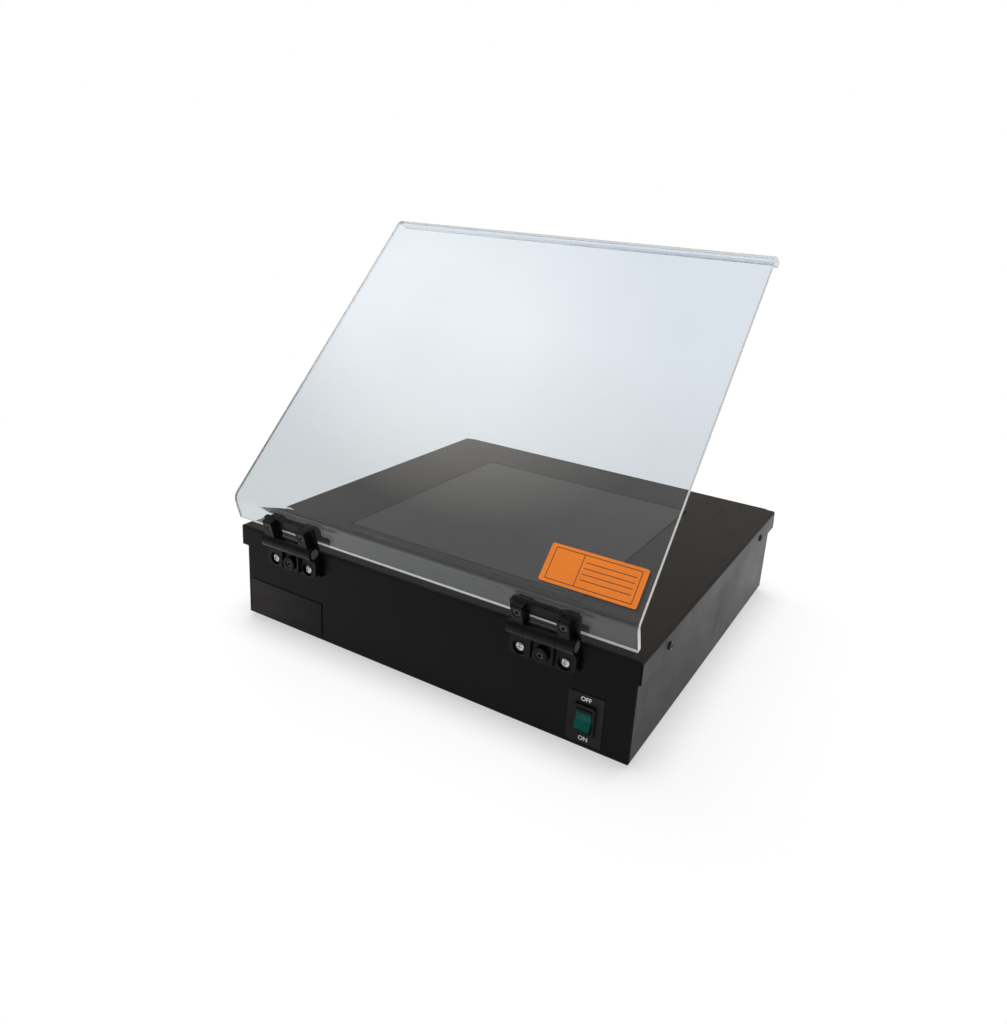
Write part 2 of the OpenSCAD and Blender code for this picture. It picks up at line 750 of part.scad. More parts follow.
module hinge_pins() {
    color("#a9adb2") placed() for (x = hinge_xs) at_hinge(x) x_rod(pin_r, 2 * pin_end);
}
module hinge_caps() {
    color("#2c2c2e") placed() for (x = hinge_xs) at_hinge(x) both_sides()
        translate([hinge_w / 2 - cap_t / 2, 0, 0]) x_rod(cap_r, cap_t);
}
module hinge_screws() {
    color("#d5d7da") placed() hinge_screw_places(pivot_z - base_screw_drop)
        translate([0, pivot_y + leaf_front + head_sink, 0]) rotate([90, 0, 0])
            machine_screw(m3_r, m3_head_r, m3_head_h, hinge_screw_l);
}
module hinge_nuts() {
    color("#b9bcc0") placed() hinge_screw_places(pivot_z - base_screw_drop)
        translate([0, front_y + sheet_t + m3_nut_t, 0]) rotate([90, 0, 0])
            hex_nut(m3_nut_af, m3_nut_t, m3_r);
}
module torque_screws() {
    color("#2a2a2c") placed() for (x = hinge_xs) at_hinge(x)
        translate([0, leaf_front - boss_rise + torque_l, -boss_drop]) rotate([90, 0, 0]) difference() {
            cylinder(r = torque_r, h = torque_l - torque_sink);
            translate([0, 0, torque_l / 3]) cylinder(r = torque_r / 2, h = torque_l, $fn = 6);
        }
}

// Cover: one clear sheet bent into tab, panel and lip, drawn from the start of its panel
module sheet_run(l) { translate([0, -cover_t]) square([l, cover_t]); }
module sheet_bend(angle) {
    far = 2 * bend_outer_r;
    translate([0, -bend_outer_r]) intersection() {
        difference() {
            circle(r = bend_outer_r - bend_step);
            circle(r = cover_bend_r + bend_step);
        }
        square(far);
        rotate(-angle) translate([-far, 0]) square(far);
    }
}
module sheet_end(angle, l) {
    sheet_bend(angle);
    translate([0, -bend_outer_r]) rotate(-angle) translate([0, bend_outer_r]) sheet_run(l);
}
module cover_profile() {
    panel_run = panel_l - tab_run - lip_run;
    sheet_run(panel_run);
    mirror([1, 0]) sheet_end(tab_bend, tab_l - tab_run);
    translate([panel_run, 0]) sheet_end(lip_bend, lip_l - lip_run);
}
module on_panel() {
    translate([0, barrel_r + bend_outer_r, tab_start + tab_l - tab_run])
        rotate([-tab_bend, 0, 0]) translate([0, -bend_outer_r, 0]) children();
}
module cover_panel() {
    color("#dfe6ee", 0.35) placed() at_cover() difference() {
        on_panel() along_x(cover_w) rotate(90) cover_profile();
        hinge_screw_places(arm_screw_rise) y_rod(m3_hole_r, 6 * barrel_r);
    }
}
module cover_label() {
    color("#f0831e") placed() at_cover() on_panel() translate([label_cx, -label_t / 2, label_cz])
        along_y(label_t) round_rect(label_w, label_h, label_r);
}
module cover_bolts() {
    color("#232325") placed() at_cover() hinge_screw_places(arm_screw_rise)
        translate([0, bolt_sink - block_reach, 0]) rotate([90, 0, 0]) {
            difference() {
                cylinder(r = bolt_head_r, h = bolt_head_h);
                translate([0, 0, bolt_head_h / 3])
                    cylinder(r = bolt_head_r / 2, h = bolt_head_h, $fn = 6);
            }
            translate([0, 0, -cover_bolt_l]) cylinder(r = m3_r, h = cover_bolt_l);
        }
}
module cover_nuts() {
    color("#2a2a2c") placed() at_cover() hinge_screw_places(arm_screw_rise)
        translate([0, barrel_r + cover_t + m3_nut_t, 0]) rotate([90, 0, 0])
            hex_nut(m3_nut_af, m3_nut_t, m3_r);
}

// Front plates and the rocker switch
module name_plate() {
    color("#5c5d60") placed() translate([name_plate_x, front_y - plate_t / 2, name_plate_z])
        along_y(plate_t) round_rect(name_plate_w, name_plate_h, plate_r);
}
module switch_plate() {
    color("#4c4d50") placed() translate([switch_x, front_y - plate_t / 2, switch_cz])
        along_y(plate_t) difference() {
            round_rect(switch_plate_w, switch_plate_h, plate_r);
            square([body_w + 2 * panel_clear, body_h + 2 * panel_clear], center = true);
        }
}
module switch_body() {
    color("#111112") placed() translate([switch_x, 0, switch_cz]) difference() {
        union() {
            translate([0, bezel_front + bezel_t / 2, 0])
                along_y(bezel_t) round_rect(bezel_w, bezel_h, bezel_r);
            translate([-body_w / 2, switch_wall_y, -body_h / 2]) cube([body_w, body_l, body_h]);
        }
        translate([-rocker_w / 2 - rocker_gap, bezel_front - cut, -rocker_r - well_clear])
            cube([rocker_w + 2 * rocker_gap, well_l + cut, 2 * (rocker_r + well_clear)]);
        translate([0, rocker_pivot_y, 0])
            x_rod(trunnion_r + trunnion_clear, rocker_w + 2 * (trunnion_l + trunnion_clear));
    }
}
module switch_terminals() {
    color("#c9a94e") placed() translate([switch_x, switch_wall_y + body_l, switch_cz])
        for (i = [-1, 0, 1]) translate([-blade_w / 2, 0, i * body_h / 3 - blade_t / 2])
            cube([blade_w, blade_l, blade_t]);
}
module rocker_outline() {
    far = 2 * rocker_r;
    intersection() {
        circle(r = rocker_r);
        polygon([[-rocker_valley, 0], [-rocker_valley - far * sin(rocker_tilt), far * cos(rocker_tilt)],
                 [rocker_back, far], [rocker_back, -far],
                 [-rocker_valley - far * sin(rocker_tilt), -far * cos(rocker_tilt)]]);
    }
}
module rocker() {
    color("#0f9d72") placed() translate([switch_x, rocker_pivot_y, switch_cz]) {
        rotate([-rocker_tilt, 0, 0]) along_x(rocker_w) rocker_outline();
        x_rod(trunnion_r, rocker_w + 2 * trunnion_l);
    }
}

// Mains inlet: socket above, fuse drawer below, held by two screws
module at_inlet() { translate([inlet_x, rear_y, inlet_cz]) children(); }
module socket_shape() {
    w = socket_w / 2;
    h = socket_h / 2;
    polygon([[-w, -h], [w, -h], [w, h - socket_bevel], [w - socket_bevel, h],
             [socket_bevel - w, h], [-w, h - socket_bevel]]);
}
module contact_places() {
    translate([0, 0, socket_up]) {
        for (side = [-1, 1]) translate([side * contact_pitch / 2, 0, -contact_up / 2]) children();
        translate([0, 0, contact_up / 2]) children();
    }
}
module contact_bars() {
    bar_l = inlet_body_l + contact_tail + inlet_flange_t - socket_l + contact_l;
    contact_places() translate([-contact_w / 2, -inlet_body_l - contact_tail, -contact_h / 2])
        cube([contact_w, bar_l, contact_h]);
}
module inlet_body() {
    color("#121213") placed() at_inlet() difference() {
        union() {
            translate([0, inlet_flange_t / 2, 0])
                along_y(inlet_flange_t) round_rect(inlet_flange_w, inlet_flange_h, inlet_corner_r);
            translate([-inlet_body_w / 2, -inlet_body_l, -inlet_body_h / 2])
                cube([inlet_body_w, inlet_body_l, inlet_body_h]);
        }
        translate([0, inlet_flange_t, socket_up]) along_y(2 * socket_l) socket_shape();
        translate([0, inlet_flange_t, -pocket_down]) along_y(2 * pocket_l)
            square([pocket_w, pocket_h], center = true);
        for (side = [-1, 1])
            translate([side * inlet_screw_pitch / 2, 0, 0]) y_rod(m3_hole_r, 4 * inlet_flange_t);
        contact_bars();
    }
}
module inlet_pins() { color("#c8cacd") placed() at_inlet() contact_bars(); }
module inlet_screws() {
    color("#2a2a2c") placed() at_inlet() for (side = [-1, 1])
        translate([side * inlet_screw_pitch / 2, inlet_flange_t, 0]) rotate([-90, 0, 0])
            machine_screw(m3_r, m3_head_r, m3_head_h, inlet_screw_l);
}
module inlet_nuts() {
    color("#b9bcc0") placed() at_inlet() for (side = [-1, 1])
        translate([side * inlet_screw_pitch / 2, -sheet_t, 0]) rotate([90, 0, 0])
            hex_nut(m3_nut_af, m3_nut_t, m3_r);
}
module fuse_drawer() {
    box_w = pocket_w - 2 * drawer_gap;
    box_h = pocket_h - 2 * drawer_gap;
    color("#1a1a1b") placed() at_inlet() translate([0, inlet_flange_t, -pocket_down]) difference() {
        union() {
            translate([0, drawer_front_t / 2, 0]) along_y(drawer_front_t)
                round_rect(pocket_w + 2 * drawer_lap, pocket_h + 2 * drawer_lap, drawer_lap);
            translate([-box_w / 2, -drawer_l, -box_h / 2]) cube([box_w, drawer_l, box_h]);
        }
        for (i = [0:fuse_count - 1]) translate([0, -fuse_y(i), drawer_wall])
            cube([fuse_l + 2 * drawer_gap, 2 * fuse_r + 2 * drawer_gap, box_h], center = true);
        translate([0, drawer_front_t, pocket_h / 2 + drawer_lap])
            x_rod(drawer_front_t / 2, pocket_w / 2);
    }
}
function fuse_y(i) = 2 * drawer_wall + fuse_r + drawer_gap + i * (2 * fuse_r + 3 * drawer_wall);
module fuses() {
    box_h = pocket_h - 2 * drawer_gap;
    color("#e7ecef") placed() at_inlet() translate([0, inlet_flange_t, -pocket_down])
        for (i = [0:fuse_count - 1])
            translate([0, -fuse_y(i), -box_h / 2 + drawer_wall + fuse_r]) x_rod(fuse_r, fuse_l);
}

chassis();
lid();
lid_screws();
lid_nuts();
feet();
foot_screws();
filter_glass();
filter_seal();
filter_frame();
reflector();
lamp_tubes();
lamp_caps();
lamp_holders();
lamp_rails();
ballasts();
ballast_screws();
hinge_packs();
hinge_base_left();
hinge_base_right();
hinge_screws();
hinge_nuts();
hinge_pins();
torque_screws();
hinge_arm_left();
hinge_arm_right();
hinge_caps();
cover_panel();
cover_bolts();
cover_nuts();
cover_label();
name_plate();
switch_plate();
switch_body();
switch_terminals();
rocker();
inlet_body();
inlet_pins();
inlet_screws();
inlet_nuts();
fuse_drawer();
fuses();
earth_stud();
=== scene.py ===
import json
import math
import bmesh
import bpy
from mathutils import Matrix, Vector


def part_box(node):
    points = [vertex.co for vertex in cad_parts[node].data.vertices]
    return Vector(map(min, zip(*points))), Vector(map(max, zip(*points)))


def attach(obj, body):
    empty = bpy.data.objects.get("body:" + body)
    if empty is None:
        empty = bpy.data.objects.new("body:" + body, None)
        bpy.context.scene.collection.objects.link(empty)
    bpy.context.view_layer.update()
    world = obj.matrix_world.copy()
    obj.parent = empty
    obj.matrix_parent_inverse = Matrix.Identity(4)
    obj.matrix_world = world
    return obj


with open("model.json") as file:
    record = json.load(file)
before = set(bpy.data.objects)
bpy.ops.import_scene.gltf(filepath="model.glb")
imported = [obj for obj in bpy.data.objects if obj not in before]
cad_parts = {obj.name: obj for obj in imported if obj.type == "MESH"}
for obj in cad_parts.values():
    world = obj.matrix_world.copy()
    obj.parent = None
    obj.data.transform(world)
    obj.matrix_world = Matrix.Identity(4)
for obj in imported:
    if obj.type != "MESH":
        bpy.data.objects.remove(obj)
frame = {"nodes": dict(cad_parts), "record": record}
nodes = frame["nodes"]
slotOfNode = {row["node"]: row["material_slot"] for row in frame["record"]["subparts"]}
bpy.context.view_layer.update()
print("loaded", len(nodes), "nodes")


class Wire:
    # one output socket, so that sums on it add Math nodes
    def __init__(self, recipe, socket):
        self.recipe, self.socket = recipe, socket

    def maths(self, operation, *values):
        return self.recipe.node("ShaderNodeMath", {"operation": operation},
                                dict(enumerate(values)))

    def __add__(self, other):
        return self.maths("ADD", self, other)

    def __sub__(self, other):
        return self.maths("SUBTRACT", self, other)

    def __rsub__(self, other):
        return self.maths("SUBTRACT", other, self)

    def __mul__(self, other):
        return self.maths("MULTIPLY", self, other)

    def __pow__(self, other):
        return self.maths("POWER", self, other)

    __radd__ = __add__
    __rmul__ = __mul__

    def highest(self, other):
        return self.maths("MAXIMUM", self, other)


class Recipe:
    # the nodes of one material, or of the world
    def __init__(self, owner):
        owner.use_nodes = True
        self.owner, self.tree = owner, owner.node_tree

    def feed(self, socket, value):
        if isinstance(value, Wire):
            self.tree.links.new(value.socket, socket)
        else:
            socket.default_value = value

    def node(self, kind, settings=None, values=None, out=0):
        made = self.tree.nodes.new(kind)
        for name, value in (settings or {}).items():
            setattr(made, name, value)
        for name, value in (values or {}).items():
            self.feed(made.inputs[name], value)
        return Wire(self, made.outputs[out])

    def noise(self, size, detail=2.0, stretch=(1, 1, 1)):
        # size is in metres, and stretch lengthens it along each axis
        place = self.node("ShaderNodeTexCoord", out="Object")
        scale = [1 / (size * s) for s in stretch]
        spread = self.node("ShaderNodeMapping", None, {"Vector": place, "Scale": scale})
        return self.node("ShaderNodeTexNoise", None,
                         {"Vector": spread, "Scale": 1.0, "Detail": detail})

    def ranged(self, value, fromLow, fromHigh, low, high):
        return self.node("ShaderNodeMapRange", None,
                         {"Value": value, "From Min": fromLow, "From Max": fromHigh,
                          "To Min": low, "To Max": high})

    def patches(self, size, detail, fromLow, fromHigh, stretch=(1, 1, 1)):
        # noise of which the part from fromLow to fromHigh is spread over 0 to 1
        return self.ranged(self.noise(size, detail, stretch), fromLow, fromHigh, 0.0, 1.0)

    def along(self, place, axis):
        # one axis of a kind of texture coordinate
        coordinate = self.node("ShaderNodeTexCoord", out=place)
        return self.node("ShaderNodeSeparateXYZ", None, {"Vector": coordinate}, out=axis)

    def length(self, vector):
        return self.node("ShaderNodeVectorMath", {"operation": "LENGTH"}, {0: vector},
                         out="Value")

    def rays(self, first, *others):
        # 1 for the kinds of ray that are named
        seen = self.node("ShaderNodeLightPath", out=first)
        for kind in others:
            seen = seen.highest(self.node("ShaderNodeLightPath", out=kind))
        return seen

    def blend(self, share, first, second):
        return self.node("ShaderNodeMix", {"data_type": "RGBA"},
                         {0: share, 6: first, 7: second}, out=2)

    def bump(self, height, depth):
        return self.node("ShaderNodeBump", None,
                         {"Height": height, "Distance": depth, "Strength": 1.0})


def opaque(colour):
    return (*colour, 1.0)


def between(ends, share):
    low, high = ends
    return low + (high - low) * share


def newFinish(name, fixed):
    recipe = Recipe(bpy.data.materials.new(name))
    shader = recipe.tree.nodes["Principled BSDF"]
    for socket, value in fixed.items():
        shader.inputs[socket].default_value = value
    return recipe, shader.inputs


# Every plain finish: two colours that drift into each other over patch metres,
# roughness from low to high, and a grain of grainSize metres that is grainDepth high
plainFinishes = {
    "blackenedSteel": dict(
        colours=((0.030, 0.030, 0.032), (0.055, 0.052, 0.050)), roughness=(0.32, 0.5),
        patch=0.003, grainSize=0.0005, grainDepth=0.00001, fixed={"Metallic": 0.7}),
    "zincPlate": dict(
        colours=((0.52, 0.53, 0.54), (0.66, 0.66, 0.64)), roughness=(0.24, 0.42),
        patch=0.008, grainSize=0.0006, grainDepth=0.00001, fixed={"Metallic": 1.0}),
    "brightNickel": dict(
        colours=((0.40, 0.40, 0.40), (0.50, 0.49, 0.48)), roughness=(0.14, 0.26),
        patch=0.002, grainSize=0.0004, grainDepth=0.000004, fixed={"Metallic": 1.0}),
    "turnedSteel": dict(
        colours=((0.045, 0.044, 0.044), (0.075, 0.073, 0.072)), roughness=(0.35, 0.52),
        patch=0.002, grainSize=0.0003, grainDepth=0.000006, fixed={"Metallic": 1.0}),
    "blackRubber": dict(
        colours=((0.0040, 0.0038, 0.0036), (0.0080, 0.0076, 0.0072)), roughness=(0.7, 0.9),
        patch=0.006, grainSize=0.0005, grainDepth=0.00003, fixed={"Specular IOR Level": 0.1}),
    "rolledAluminium": dict(
        colours=((0.76, 0.77, 0.78), (0.84, 0.85, 0.86)), roughness=(0.16, 0.34),
        patch=0.02, grainSize=0.0006, grainDepth=0.000006, stretch=(30, 1, 1),
        fixed={"Metallic": 1.0}),
    "tubeGlass": dict(
        colours=((0.82, 0.85, 0.88), (0.88, 0.90, 0.93)), roughness=(0.05, 0.12),
        patch=0.02, grainSize=0.004, grainDepth=0.000004,
        fixed={"Transmission Weight": 0.6, "IOR": 1.5}),
    "fuseGlass": dict(
        colours=((0.84, 0.87, 0.87), (0.90, 0.92, 0.92)), roughness=(0.03, 0.08),
        patch=0.004, grainSize=0.002, grainDepth=0.000002,
        fixed={"Transmission Weight": 0.8, "IOR": 1.5}),
    "whiteMoulding": dict(
        colours=((0.76, 0.76, 0.72), (0.82, 0.82, 0.79)), roughness=(0.38, 0.52),
        patch=0.01, grainSize=0.0006, grainDepth=0.00001, fixed={}),
    "whiteEnamel": dict(
        colours=((0.72, 0.73, 0.71), (0.78, 0.79, 0.77)), roughness=(0.25, 0.4),
        patch=0.03, grainSize=0.0012, grainDepth=0.00002, fixed={}),
    "hingeMoulding": dict(
        colours=((0.0026, 0.0024, 0.0026), (0.0050, 0.0046, 0.0050)), roughness=(0.24, 0.38),
        patch=0.004, grainSize=0.00035, grainDepth=0.000018, fixed={"IOR": 1.22}),
    # the hinge caps: a lighter, purplish black than the hinge, a painted highlight on their ends
    "hingeCapPaintedHighlight": dict(
        colours=((0.050, 0.048, 0.056), (0.068, 0.065, 0.074)), roughness=(0.4, 0.55),
        patch=0.002, grainSize=0.00035, grainDepth=0.00001, fixed={"IOR": 1.4}),
    "glossBlackMoulding": dict(
        colours=((0.0022, 0.0022, 0.0022), (0.0040, 0.0040, 0.0040)), roughness=(0.2, 0.34),
        patch=0.006, grainSize=0.0005, grainDepth=0.000006, fixed={"IOR": 1.24}),
    "plainBrass": dict(
        colours=((0.66, 0.49, 0.21), (0.76, 0.59, 0.29)), roughness=(0.22, 0.4),
        patch=0.003, grainSize=0.0004, grainDepth=0.000006, fixed={"Metallic": 1.0}),
    "platedContact": dict(
        colours=((0.66, 0.66, 0.65), (0.74, 0.73, 0.71)), roughness=(0.18, 0.32),
        patch=0.002, grainSize=0.0003, grainDepth=0.000004, fixed={"Metallic": 1.0}),
    "whiteInk": dict(
        colours=((0.78, 0.78, 0.76), (0.70, 0.70, 0.69)), roughness=(0.4, 0.55),
        patch=0.001, grainSize=0.0002, grainDepth=0.000004, fixed={}),
    "blackInk": dict(
        colours=((0.035, 0.022, 0.014), (0.050, 0.032, 0.022)), roughness=(0.4, 0.55),
        patch=0.002, grainSize=0.0002, grainDepth=0.000003, fixed={}),
}
patchRange = dict(detail=3.0, fromLow=0.35, fromHigh=0.65)
roughnessFromPatch, roughnessFromGrain = 0.6, 0.4


def plainFinish(name, look):
    recipe, sockets = newFinish(name, look["fixed"])
    stretch = look.get("stretch", (1, 1, 1))
    patch = recipe.patches(look["patch"], **patchRange, stretch=stretch)
    grain = recipe.noise(look["grainSize"], stretch=stretch)
    share = roughnessFromPatch * patch + roughnessFromGrain * grain
    recipe.feed(sockets["Base Color"], recipe.blend(patch, *map(opaque, look["colours"])))
    recipe.feed(sockets["Roughness"], between(look["roughness"], share))
    recipe.feed(sockets["Normal"], recipe.bump(grain, look["grainDepth"]))
    return recipe.owner


housingPaint = dict(
    colour=(0.0011, 0.0010, 0.0010), paleColour=(0.0020, 0.0018, 0.0018),
    cloud=dict(size=0.06, detail=4.0, fromLow=0.3, fromHigh=0.7),
    rub=dict(size=0.0025, detail=3.0, fromLow=0.55, fromHigh=0.75, stretch=(1, 14, 14)),
    speck=dict(size=0.0016, detail=5.0, fromLow=0.62, fromHigh=0.74),
    dustColour=(0.085, 0.076, 0.067), dust=0.28, dustOverAll=0.35, dustInClouds=0.45,
    roughness=(0.28, 0.40), rubRoughness=0.06, dustRoughness=0.5,
    peelSize=0.0014, peelDepth=0.000014, fixed={"IOR": 1.185})


def paintedSheet(look):
    # satin powder coat: orange peel, faint rub marks, and a little dust where it faces up
    recipe, sockets = newFinish("satinPowderCoat", look["fixed"])
    cloud, rub, speck = (recipe.patches(**look[kind]) for kind in ("cloud", "rub", "speck"))
    peel = recipe.noise(look["peelSize"])
    normal = recipe.node("ShaderNodeNewGeometry", out="Normal")
    up = recipe.node("ShaderNodeSeparateXYZ", None, {"Vector": normal}, out="Z").highest(0.0)
    dust = look["dust"] * up * (look["dustOverAll"] + look["dustInClouds"] * cloud + speck)
    paint = recipe.blend(cloud, opaque(look["colour"]), opaque(look["paleColour"]))
    roughness = (between(look["roughness"], cloud) + look["rubRoughness"] * rub
                 + look["dustRoughness"] * dust)
    recipe.feed(sockets["Base Color"], recipe.blend(dust, paint, opaque(look["dustColour"])))
    recipe.feed(sockets["Roughness"], roughness)
    recipe.feed(sockets["Normal"], recipe.bump(peel, look["peelDepth"]))
    return recipe.owner


filterLook = dict(
    colour=(0.0070, 0.0062, 0.0060), smearColour=(0.016, 0.0145, 0.0135),
    smear=dict(size=0.03, detail=5.0, fromLow=0.42, fromHigh=0.72, stretch=(3, 1, 1)),
    roughness=(0.05, 0.16), rippleSize=0.05, rippleDepth=0.00004, fixed={"IOR": 1.36})


def filterGlass(look):
    # polished dark glass with wiped smears
    recipe, sockets = newFinish("darkFilterGlass", look["fixed"])
    smear = recipe.patches(**look["smear"])
    ripple = recipe.noise(look["rippleSize"], detail=1.0)
    recipe.feed(sockets["Base Color"],
                recipe.blend(smear, opaque(look["colour"]), opaque(look["smearColour"])))
    recipe.feed(sockets["Roughness"], between(look["roughness"], smear))
    recipe.feed(sockets["Normal"], recipe.bump(ripple, look["rippleDepth"]))
    return recipe.owner


# the sheet is given a darker colour below lowTo, gone by lowFrom: painted shade on its lower
# part
acrylicLook = dict(
    colour=(0.705, 0.762, 0.825), hazeColour=(0.675, 0.735, 0.795),
    haze=dict(size=0.09, detail=4.0, fromLow=0.4, fromHigh=0.75, stretch=(1, 2, 2)),
    paintedLowShadeColour=(0.59, 0.625, 0.65), lowTo=0.13, lowFrom=0.235, waveSize=0.12, waveDepth=0.0001,
    fixed={"Transmission Weight": 1.0, "IOR": 1.49, "Roughness": 0.0})


def clearAcrylic(look):
    # clear sheet, a little blue in its depth, with faint wiping haze, and painted shade on its
    # lower part
    recipe, sockets = newFinish("clearAcrylic", look["fixed"])
    haze = recipe.patches(**look["haze"])
    wave = recipe.noise(look["waveSize"], detail=1.0)
    # painted shade: darker towards the bottom of the sheet
    paintedShadeBelow = recipe.ranged(
        recipe.along("Object", "Z"), look["lowTo"], look["lowFrom"], 1.0, 0.0)
    clear = recipe.blend(haze, opaque(look["colour"]), opaque(look["hazeColour"]))
    recipe.feed(sockets["Base Color"], recipe.blend(paintedShadeBelow, clear, opaque(look["paintedLowShadeColour"])))
    recipe.feed(sockets["Normal"], recipe.bump(wave, look["waveDepth"]))
    return recipe.owner


edgeLook = dict(
    colour=(0.82, 0.83, 0.82), sawColour=(0.94, 0.945, 0.935), roughness=(0.25, 0.45),
    marks=dict(size=0.0007, detail=3.0, stretch=(6, 1, 1)), markDepth=0.00002,
    fixed={"Transmission Weight": 0.48, "IOR": 1.35})


def sawnAcrylic(look):
    # the cut edge, frosted by fine saw marks across the sheet
    recipe, sockets = newFinish("sawnAcrylicEdge", look["fixed"])
    marks = recipe.noise(**look["marks"])
    recipe.feed(sockets["Base Color"],
                recipe.blend(marks, opaque(look["colour"]), opaque(look["sawColour"])))
    recipe.feed(sockets["Roughness"], between(look["roughness"], marks))
    recipe.feed(sockets["Normal"], recipe.bump(marks, look["markDepth"]))
    return recipe.owner


# Films go from colour on the left to the end colour on the right; on the grey and switch films
# that change is painted shading, the grey film lighter on its left and the switch film lighter
# on its right, while the orange film is even
printedFilms = {
    "orangeFilm": dict(
        colour=(0.86, 0.225, 0.019), paintedShadingEndColour=(0.86, 0.225, 0.019),
        fadeColour=(0.80, 0.205, 0.019), fade=0.8, roughness=(0.28, 0.42), fixed={"IOR": 1.4}),
    "greyFilmPaintedShading": dict(
        colour=(0.0310, 0.0285, 0.0285), paintedShadingEndColour=(0.0060, 0.0056, 0.0056),
        fadeColour=(0.0140, 0.0128, 0.0128), fade=0.3, roughness=(0.34, 0.5),
        fixed={"IOR": 1.17}),
    "switchFilmPaintedShading": dict(
        colour=(0.0175, 0.0165, 0.0165), paintedShadingEndColour=(0.0260, 0.0245, 0.0245),
        fadeColour=(0.0150, 0.0140, 0.0140), fade=0.5, roughness=(0.34, 0.5),
        fixed={"IOR": 1.17}),
}
filmSurface = dict(
    faded=dict(size=0.012, detail=4.0, fromLow=0.35, fromHigh=0.7),
    embossSize=0.0004, embossDepth=0.000012)


def printedFilm(name, look):
    # film with a fine emboss, a touch faded in places, and painted shading across it
    recipe, sockets = newFinish(name, look["fixed"])
    # painted shading: one end of the film lighter than the other, for how light falls on it
    printed = recipe.blend(
        recipe.along("Generated", "X"), opaque(look["colour"]), opaque(look["paintedShadingEndColour"]))
    faded = recipe.patches(**filmSurface["faded"])
    emboss = recipe.noise(filmSurface["embossSize"], detail=1.0)
    recipe.feed(sockets["Base Color"],
                recipe.blend(look["fade"] * faded, printed, opaque(look["fadeColour"])))
    recipe.feed(sockets["Roughness"], between(look["roughness"], faded))
    recipe.feed(sockets["Normal"], recipe.bump(emboss, filmSurface["embossDepth"]))
    return recipe.owner


# endFrom and endTo are shares of the key's height, away from its middle, where the painted shade
# on its ends begins and is full
rockerLook = dict(
    colour=(0.0010, 0.100, 0.080), deepColour=(0.0008, 0.066, 0.054),
    swirl=dict(size=0.004, detail=3.0, fromLow=0.35, fromHigh=0.65),
    paintedShadingEndColour=(0.0012, 0.0075, 0.0070), endFrom=0.27, endTo=0.40, roughness=(0.16, 0.28),
    coat=(0.04, 0.10), grainSize=0.0006, grainDepth=0.000004,
    fixed={"IOR": 1.17, "Coat Roughness": 0.08})


def translucentGreen(look):
    # a green key, with painted shade on its top and bottom ends
    recipe, sockets = newFinish("translucentGreen", look["fixed"])
    swirl = recipe.patches(**look["swirl"])
    height = recipe.along("Generated", "Z") - 0.5
    fromMiddle = height.highest(0.0 - height)
    # painted shade: the key's ends darken, where the bezel shades them
    ends = recipe.ranged(fromMiddle, look["endFrom"], look["endTo"], 0.0, 1.0)
    # the key's own green, over all of it
    lens = recipe.blend(swirl, opaque(look["colour"]), opaque(look["deepColour"]))
    grain = recipe.noise(look["grainSize"])
    recipe.feed(sockets["Base Color"], recipe.blend(ends, lens, opaque(look["paintedShadingEndColour"])))
    recipe.feed(sockets["Roughness"], between(look["roughness"], swirl))
    recipe.feed(sockets["Coat Weight"], between(look["coat"], swirl))
    recipe.feed(sockets["Normal"], recipe.bump(grain, look["grainDepth"]))
    return recipe.owner


finishes = {name: plainFinish(name, look) for name, look in plainFinishes.items()}
finishes.update({name: printedFilm(name, look) for name, look in printedFilms.items()})
finishes["satinPowderCoat"] = paintedSheet(housingPaint)
finishes["darkFilterGlass"] = filterGlass(filterLook)
finishes["clearAcrylic"] = clearAcrylic(acrylicLook)
finishes["sawnAcrylicEdge"] = sawnAcrylic(edgeLook)
finishes["translucentGreen"] = translucentGreen(rockerLook)

finishOfSlot = {
    "housing_paint": "satinPowderCoat", "dark_screws": "blackenedSteel",
    "zinc_steel": "zincPlate", "nickel_screws": "brightNickel", "torque_steel": "turnedSteel",
    "rubber": "blackRubber", "filter_glass": "darkFilterGlass",
    "bright_sheet": "rolledAluminium", "lamp_glass": "tubeGlass", "fuse_glass": "fuseGlass",
    "white_plastic": "whiteMoulding", "ballast_paint": "whiteEnamel",
    "hinge_plastic": "hingeMoulding", "clear_acrylic": "clearAcrylic",
    "orange_film": "orangeFilm", "grey_film": "greyFilmPaintedShading", "black_plastic": "glossBlackMoulding",
    "green_plastic": "translucentGreen", "brass": "plainBrass",
    "contact_metal": "platedContact"}

# Where a node differs from the rest of its slot: painted highlight on the hinge caps, painted
# shading on the switch plate
ownFinish = {"hinge_caps": "hingeCapPaintedHighlight", "switch_plate": "switchFilmPaintedShading"}
for name, node in nodes.items():
    finish = ownFinish.get(name, finishOfSlot[slotOfNode[name]])
    node.data.materials.clear()
    node.data.materials.append(finishes[finish])
print("finishes on", len(nodes), "nodes")


# The cover's cut edges get the sawn finish: both sides, and the ends of tab and lip
coverEdges = dict(
    sheetThickness=0.004, thicknessSlack=0.00005, fullWidth=0.99, sideways=0.99,
    sideReach=0.0005)


